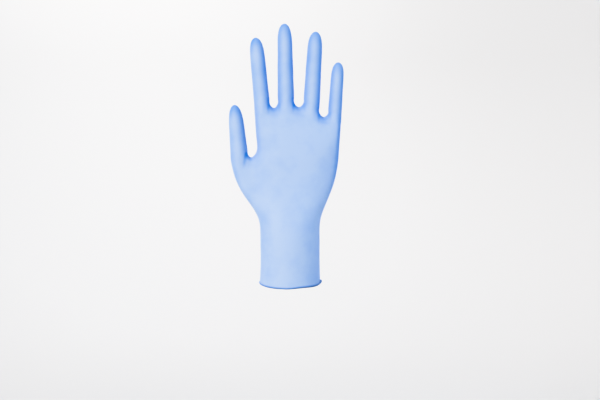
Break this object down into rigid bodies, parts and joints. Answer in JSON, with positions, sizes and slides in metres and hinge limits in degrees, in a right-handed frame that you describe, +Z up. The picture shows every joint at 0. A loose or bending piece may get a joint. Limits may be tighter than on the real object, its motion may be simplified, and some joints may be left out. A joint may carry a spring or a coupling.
{
  "type": "nitrile exam glove",
  "caption": "Thin blue nitrile exam glove in its worn form: tapered fingers and thumb, smooth palm, and a round cuff with a rolled bead.",
  "frame": {"origin": "centre of the wrist opening, at the lowest plane of the rolled bead", "axes": "+Z up from the opening to the fingertips, +X from the thumb's side to the little finger's side, +Y through the palm"},
  "size_m": [0.1051, 0.058, 0.2396],
  "materials": {
    "nitrile_film": "matte"
  },
  "bodies": {
    "root": {"glove": "nitrile_film"}
  },
  "joints": []
}
